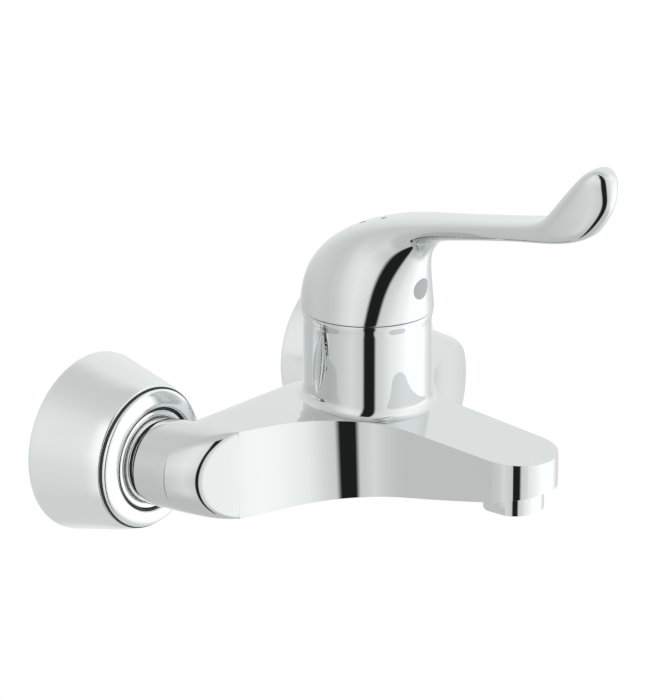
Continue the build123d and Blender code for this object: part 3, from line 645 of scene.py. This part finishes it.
castingShape = {
    # plan of the left side, from the pad's outer end to the root of the spout
    "sweep": [(-92.0, -60.8), (-66.7, -71.4), (-46.9, -78.4), (-30.0, -89.2), (-20.8, -101.5),
              (-17.9, -118.0)],
    "sweepEnds": [(1, -0.42), (0.03, -1)],
    "pathSteps": 24,
    # the underside of the valley lies nearer the middle: by how much, where, and how wide
    "valleyLean": (2.2, 36.0, 13.0),
    "tipHalfWidth": 16.9,
    "tipMiddle": -152.0,
    "sideSteps": 10,
    "tipStep": 5,            # degrees
    # side view of the top and of the underside, as (y, z)
    "top": [(-70.0, 17.9), (-92.0, 15.8), (-113.6, 14.3), (-138.0, 12.3), (-171.9, 9.6)],
    "topEnds": [(-1, 0), (-1, -0.08)],
    "underside": [(-70.0, -17.9), (-102.0, -15.3), (-128.7, -10.8), (-171.9, -2.0)],
    "undersideEnds": [(-1, 0), (-1, 0.21)],
    # back of the bar, and the radius over which its top and underside curve down to it
    "barBack": -40.0,
    "barBackRound": 13.0,
    # cuts across the slab: closer where its back curves down
    "backCuts": [-40.4, -41.5, -43, -45, -47.5, -50, -53],
    "frontCuts": (-58, -168, -4),
    "topEdge": 1.3,
    "undersideEdge": 1.1,
    "edgeStart": -64.0,
    "edgeSegments": 5,
    "edgeTilts": (0.3, 0.8),     # the most of an upright side and the least of a level one
    # arms: how their axes lean inwards, from which distance and over what length
    "armSpread": 75.0,
    "armLean": (7.0, 37.6, 33.5),
    "armMiddles": [40.0, 48.0, 56.0, 64.0],      # here the slab ends on the arms' axes
    "armRadius": 17.9,
    "armSegments": 128,
    # distance and radius of the rings at the nut
    "armBack": [(38.0, 15.9), (38.0, 16.8), (38.4, 17.4), (52.0, 17.9)],
    # how the pad's edge rounds off at its outer end: distance from the front and inset
    "armEdge": [(12.0, 0.0), (8.0, 0.45), (5.0, 1.2), (2.8, 2.1), (1.6, 2.75), (1.1, 3.08), (0.8, 3.33),
                (0.55, 3.62), (0.33, 4.0), (0.15, 4.4), (0.03, 4.85), (0.0, 5.3)],
    "edgeAtTop": (0.11, 0.24),   # share of that distance and inset at the top of the pad
    "frontGuess": 68.0,          # where the pad's face is looked for first, and how often again
    "frontTries": 8,
    "armInner": -0.01,           # from here inwards the arm ends inside the slab
    "armSunk": 1.5,
    "padCuts": (50, 90, 2),
    # tower: radius and height, round the wall from inside the slab to the cartridge seat
    "towerAxis": -79.0,
    "towerFoot": [(24.0, 11.0), (28.6, 16.6), (28.45, 17.75), (27.7, 17.97), (26.95, 18.3), (26.25, 18.85),
                  (25.75, 19.6), (25.42, 20.5), (25.3, 21.6)],
    "towerHead": [(25.3, 48.8), (25.42, 49.6), (25.7, 50.7), (25.88, 51.5), (25.9, 52.4), (25.75, 52.85),
                  (25.4, 53.0), (20.2, 53.0), (20.2, 37.5), (17.6, 37.5), (17.6, 14.0), (16.0, 11.0)],
    "towerRadius": 25.3,
    "towerSkin": 25.0,           # beyond this radius lies the outside
    "towerRows": 40,
    "towerSteps": 256,
    # the foot follows the slab's top: beyond which radius, up to which height, and over what height
    "footFollow": (23.0, 34.0, 13.0),
    # finger recess on each side of the tower
    "recess": {
        "height": 34.9,
        "halfHeight": 12.9,
        "halfWidth": 3.7,
        "depth": 1.45,
        "behind": 8.2,           # degrees behind the side
        "lean": 1.5,
        "pointedTop": 1.7,
        "bluntBottom": 3.0,
        "softness": 1.5,
        "margin": (1.5, 1.1),    # finer mesh around it
        "cuts": 4,
    },
    # inlet tails: radius and distance from the wall
    "tail": [(8.1, 29.6), (12.8, 29.6), (12.8, 32.6), (11.1, 32.6), (11.1, 40.4), (8.1, 40.4)],
    "tailSteps": 64,
    "sharpFrom": 50,             # degrees
    "normalWeight": 60,
}


def smoothPath(points, ends):
    steps = castingShape["pathSteps"]
    spots = np.array(points, float)
    gaps = np.linalg.norm(np.diff(spots, axis=0), axis=1)
    count = len(spots)
    matrix = np.zeros((count, count))
    right = np.zeros((count, 2))
    matrix[0, 0] = matrix[-1, -1] = 1
    right[0] = np.array(ends[0], float) / np.linalg.norm(ends[0])
    right[-1] = np.array(ends[1], float) / np.linalg.norm(ends[1])
    for i in range(1, count - 1):
        before, after = gaps[i - 1], gaps[i]
        matrix[i, i - 1:i + 2] = after, 2 * (before + after), before
        right[i] = 3 * (after / before * (spots[i] - spots[i - 1])
                        + before / after * (spots[i + 1] - spots[i]))
    slopes = np.linalg.solve(matrix, right)
    path = []
    for i, gap in enumerate(gaps):
        start, end = spots[i], spots[i + 1]
        handles = (start, start + slopes[i] * gap / 3, end - slopes[i + 1] * gap / 3, end)
        run = interpolate_bezier(*[Vector((*handle, 0)) for handle in handles], steps + 1)
        path.extend((point.x, point.y) for point in run[:-1])
    path.append(tuple(points[-1]))
    return np.array(path)


sweepPath = smoothPath(castingShape["sweep"], castingShape["sweepEnds"])
topPath = smoothPath(castingShape["top"], castingShape["topEnds"])
undersidePath = smoothPath(castingShape["underside"], castingShape["undersideEnds"])


def padFront(x):
    return float(np.interp(-abs(x), sweepPath[:, 0], sweepPath[:, 1]))


def armAxis(away):
    lean, start, length = castingShape["armLean"]
    return castingShape["armSpread"] - lean * (away - start) / length


def slabHeight(y, path):
    level = abs(path[0][1])
    back = castingShape["barBack"]
    curve = castingShape["barBackRound"]
    if y > back - curve:
        level += math.sqrt(max(curve ** 2 - (y - back + curve) ** 2, 0)) - curve
    elif y < path[0][0]:
        return float(np.interp(-y, -path[:, 0], path[:, 1]))
    return math.copysign(level, path[0][1])


def slabOutline():
    rootX, rootY = castingShape["sweep"][-1]
    tipMiddle = castingShape["tipMiddle"]
    tipHalf = castingShape["tipHalfWidth"]
    steps = castingShape["sideSteps"]
    half = [(-armAxis(away), -away) for away in castingShape["armMiddles"]]
    half += [(x, y) for x, y in sweepPath if x > -armAxis(-y) + tiny]
    half += [(rootX + (-tipHalf - rootX) * k / steps, rootY + (tipMiddle - rootY) * k / steps)
             for k in range(1, steps)]
    turns = [math.radians(turn) for turn in range(0, 90, castingShape["tipStep"])]
    half += [(-tipHalf * math.cos(turn), tipMiddle - tipHalf * math.sin(turn)) for turn in turns]
    return half + [(0, tipMiddle - tipHalf)] + [(-x, y) for x, y in reversed(half)]


def isRim(edge, sign):
    start = castingShape["edgeStart"] * mm
    mostUpright, leastLevel = castingShape["edgeTilts"]
    if len(edge.link_faces) != 2 or any(vert.co.y >= start for vert in edge.verts):
        return False
    upright, level = sorted((side.normal.z for side in edge.link_faces), key=abs)
    return abs(upright) < mostUpright and level * sign > leastLevel


def addSlab(shape):
    lean, leanAt, leanWidth = castingShape["valleyLean"]
    shape.faces.new([shape.verts.new((x * mm, y * mm, 0)) for x, y in slabOutline()])
    for y in castingShape["backCuts"] + list(range(*castingShape["frontCuts"])):
        bmesh.ops.bisect_plane(shape, geom=shape.verts[:] + shape.edges[:] + shape.faces[:],
                               plane_co=(0, y * mm, 0), plane_no=(0, 1, 0), dist=tiny * mm)
    grown = bmesh.ops.extrude_face_region(shape, geom=shape.faces[:], use_keep_orig=True)["geom"]
    upper = {item for item in grown if isinstance(item, bmesh.types.BMVert)}
    for vert in shape.verts:
        path = topPath if vert in upper else undersidePath
        if vert not in upper:
            closer = lean * math.exp(-((abs(vert.co.x / mm) - leanAt) / leanWidth) ** 2) * mm
            vert.co.x -= math.copysign(closer, vert.co.x)
        vert.co.z = (slabHeight(vert.co.y / mm, path) + bodyRise) * mm
    bmesh.ops.recalc_face_normals(shape, faces=shape.faces)
    for sign, width in ((1, castingShape["topEdge"]), (-1, castingShape["undersideEdge"])):
        rim = [edge for edge in shape.edges if isRim(edge, sign)]
        bmesh.ops.bevel(shape, geom=rim, offset=width * mm, offset_type="OFFSET", affect="EDGES",
                        segments=castingShape["edgeSegments"], profile=0.5, clamp_overlap=True, material=-1)


def addArm(shape, side):
    points = castingShape["armSegments"]
    shortTop, insetTop = castingShape["edgeAtTop"]
    rings = []
    for away, radius in castingShape["armBack"]:
        ring = bmesh.ops.create_circle(shape, segments=points, radius=radius)["verts"]
        for vert in ring:
            vert.co = Vector((side * (armAxis(away) + vert.co.x), -away, vert.co.y + bodyRise)) * mm
        rings.append(ring)
    for short, inset in castingShape["armEdge"]:
        ring = bmesh.ops.create_circle(shape, segments=points, radius=1)["verts"]
        for vert in ring:
            outward = max(vert.co.x, 0)
            sideways = vert.co.x if short > 0 else outward       # the face ends where the slab begins
            radius = castingShape["armRadius"] - inset * (insetTop + (1 - insetTop) * outward)
            away = castingShape["frontGuess"]
            for again in range(castingShape["frontTries"]):
                x = armAxis(away) + radius * sideways
                away = -padFront(x) - short * (shortTop + (1 - shortTop) * outward)
            if sideways < castingShape["armInner"]:
                away -= castingShape["armSunk"]
            vert.co = Vector((side * x, -away, radius * vert.co.y + bodyRise)) * mm
        rings.append(ring)
    loops = [ringEdges(ring) for ring in rings]
    bridgeAll(shape, loops)
    ends = bmesh.ops.holes_fill(shape, edges=loops[0] + loops[-1], sides=points)["faces"]
    pad = [min(ends, key=lambda end: end.calc_center_median().y)]
    for x in range(*castingShape["padCuts"]):
        geom = list(pad)
        geom += {edge for face in pad for edge in face.edges}
        geom += {vert for face in pad for vert in face.verts}
        cut = bmesh.ops.bisect_plane(shape, geom=geom, plane_co=(side * x * mm, 0, 0), plane_no=(1, 0, 0),
                                     dist=tiny * mm)["geom"]
        pad = [item for item in cut if isinstance(item, bmesh.types.BMFace)]


def recessPlace(x, y, z):
    dent = castingShape["recess"]
    up = (z - dent["height"]) / dent["halfHeight"]
    turn = math.atan2(y - castingShape["towerAxis"], abs(x)) - math.radians(dent["behind"])
    return turn * castingShape["towerRadius"] + dent["lean"] * up, up


def recessDepth(across, up):
    dent = castingShape["recess"]
    if abs(up) >= 1:
        return 0.0
    sharpness = dent["pointedTop"] if up > 0 else dent["bluntBottom"]
    narrowing = 1 - abs(up) ** sharpness
    halfWidth = dent["halfWidth"] * narrowing
    if abs(across) >= halfWidth:
        return 0.0
    return dent["depth"] * (1 - (across / halfWidth) ** 2) ** dent["softness"] * narrowing


def refineAroundRecess(shape):
    dent = castingShape["recess"]
    axis = castingShape["towerAxis"]
    besides, above = dent["margin"]
    around = set()
    for vert in shape.verts:
        across, up = recessPlace(*(vert.co / mm))
        outside = math.hypot(vert.co.x, vert.co.y - axis * mm) > castingShape["towerSkin"] * mm
        if outside and abs(across) < dent["halfWidth"] + besides and abs(up) < above:
            around.add(vert)
    fine = [edge for edge in shape.edges if around.issuperset(edge.verts)]
    bmesh.ops.subdivide_edges(shape, edges=fine, cuts=dent["cuts"], use_grid_fill=True)


def addTower(casting):
    axis = castingShape["towerAxis"]
    outer = castingShape["towerRadius"]
    low, high = castingShape["towerFoot"][-1][1], castingShape["towerHead"][0][1]
    rows = castingShape["towerRows"]
    slabTop = castingShape["top"][0][1]
    footRadius, footTop, footHeight = castingShape["footFollow"]
    wall = [(outer, low + (high - low) * k / rows) for k in range(1, rows)]
    section = castingShape["towerFoot"] + wall + castingShape["towerHead"]
    shape = bmesh.new()
    verts = [shape.verts.new((radius * mm, axis * mm, z * mm)) for radius, z in section]
    edges = [shape.edges.new(pair) for pair in zip(verts, verts[1:] + verts[:1])]
    bmesh.ops.spin(shape, geom=verts + edges, cent=(0, axis * mm, 0), axis=(0, 0, 1), dvec=(0, 0, 0),
                   angle=math.tau, steps=castingShape["towerSteps"], use_merge=True)
    refineAroundRecess(shape)
    for vert in shape.verts:
        x, y, z = vert.co / mm
        radius = math.hypot(x, y - axis)
        if low < z < high and radius > castingShape["towerSkin"]:
            shrink = (outer - recessDepth(*recessPlace(x, y, z))) / radius
            x, y = x * shrink, axis + (y - axis) * shrink
        if z < footTop and radius > footRadius:
            follow = min(max((footTop - z) / footHeight, 0), 1)
            z += (slabHeight(y, topPath) - slabTop) * follow
        vert.co = Vector((x, y, z + bodyRise)) * mm
    tower = bpy.data.meshes.new("tower")
    shape.to_mesh(tower)
    shape.free()
    casting.from_mesh(tower)
    bpy.data.meshes.remove(tower)


def makeCasting():
    shape = bmesh.new()
    addSlab(shape)
    for side in (-1, 1):
        addArm(shape, side)
        middleX = side * coverShape["inletSpacing"] / 2
        spinSection(shape, castingShape["tail"], middleX, castingShape["tailSteps"])
    addTower(shape)
    casting = finishMesh("bodyCasting", shape, "chrome")
    casting.data.set_sharp_from_angle(angle=math.radians(castingShape["sharpFrom"]))
    weighted = casting.modifiers.new("weighted", "WEIGHTED_NORMAL")
    weighted.keep_sharp = True
    weighted.weight = castingShape["normalWeight"]
    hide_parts("mixer_body")
    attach(casting, "body")
    print("casting faces:", len(casting.data.polygons))


makeCasting()

addCamera()
addStudio()
addFloor()
print("camera, studio and floor in place")
bpy.context.scene.view_settings.view_transform = "Standard"
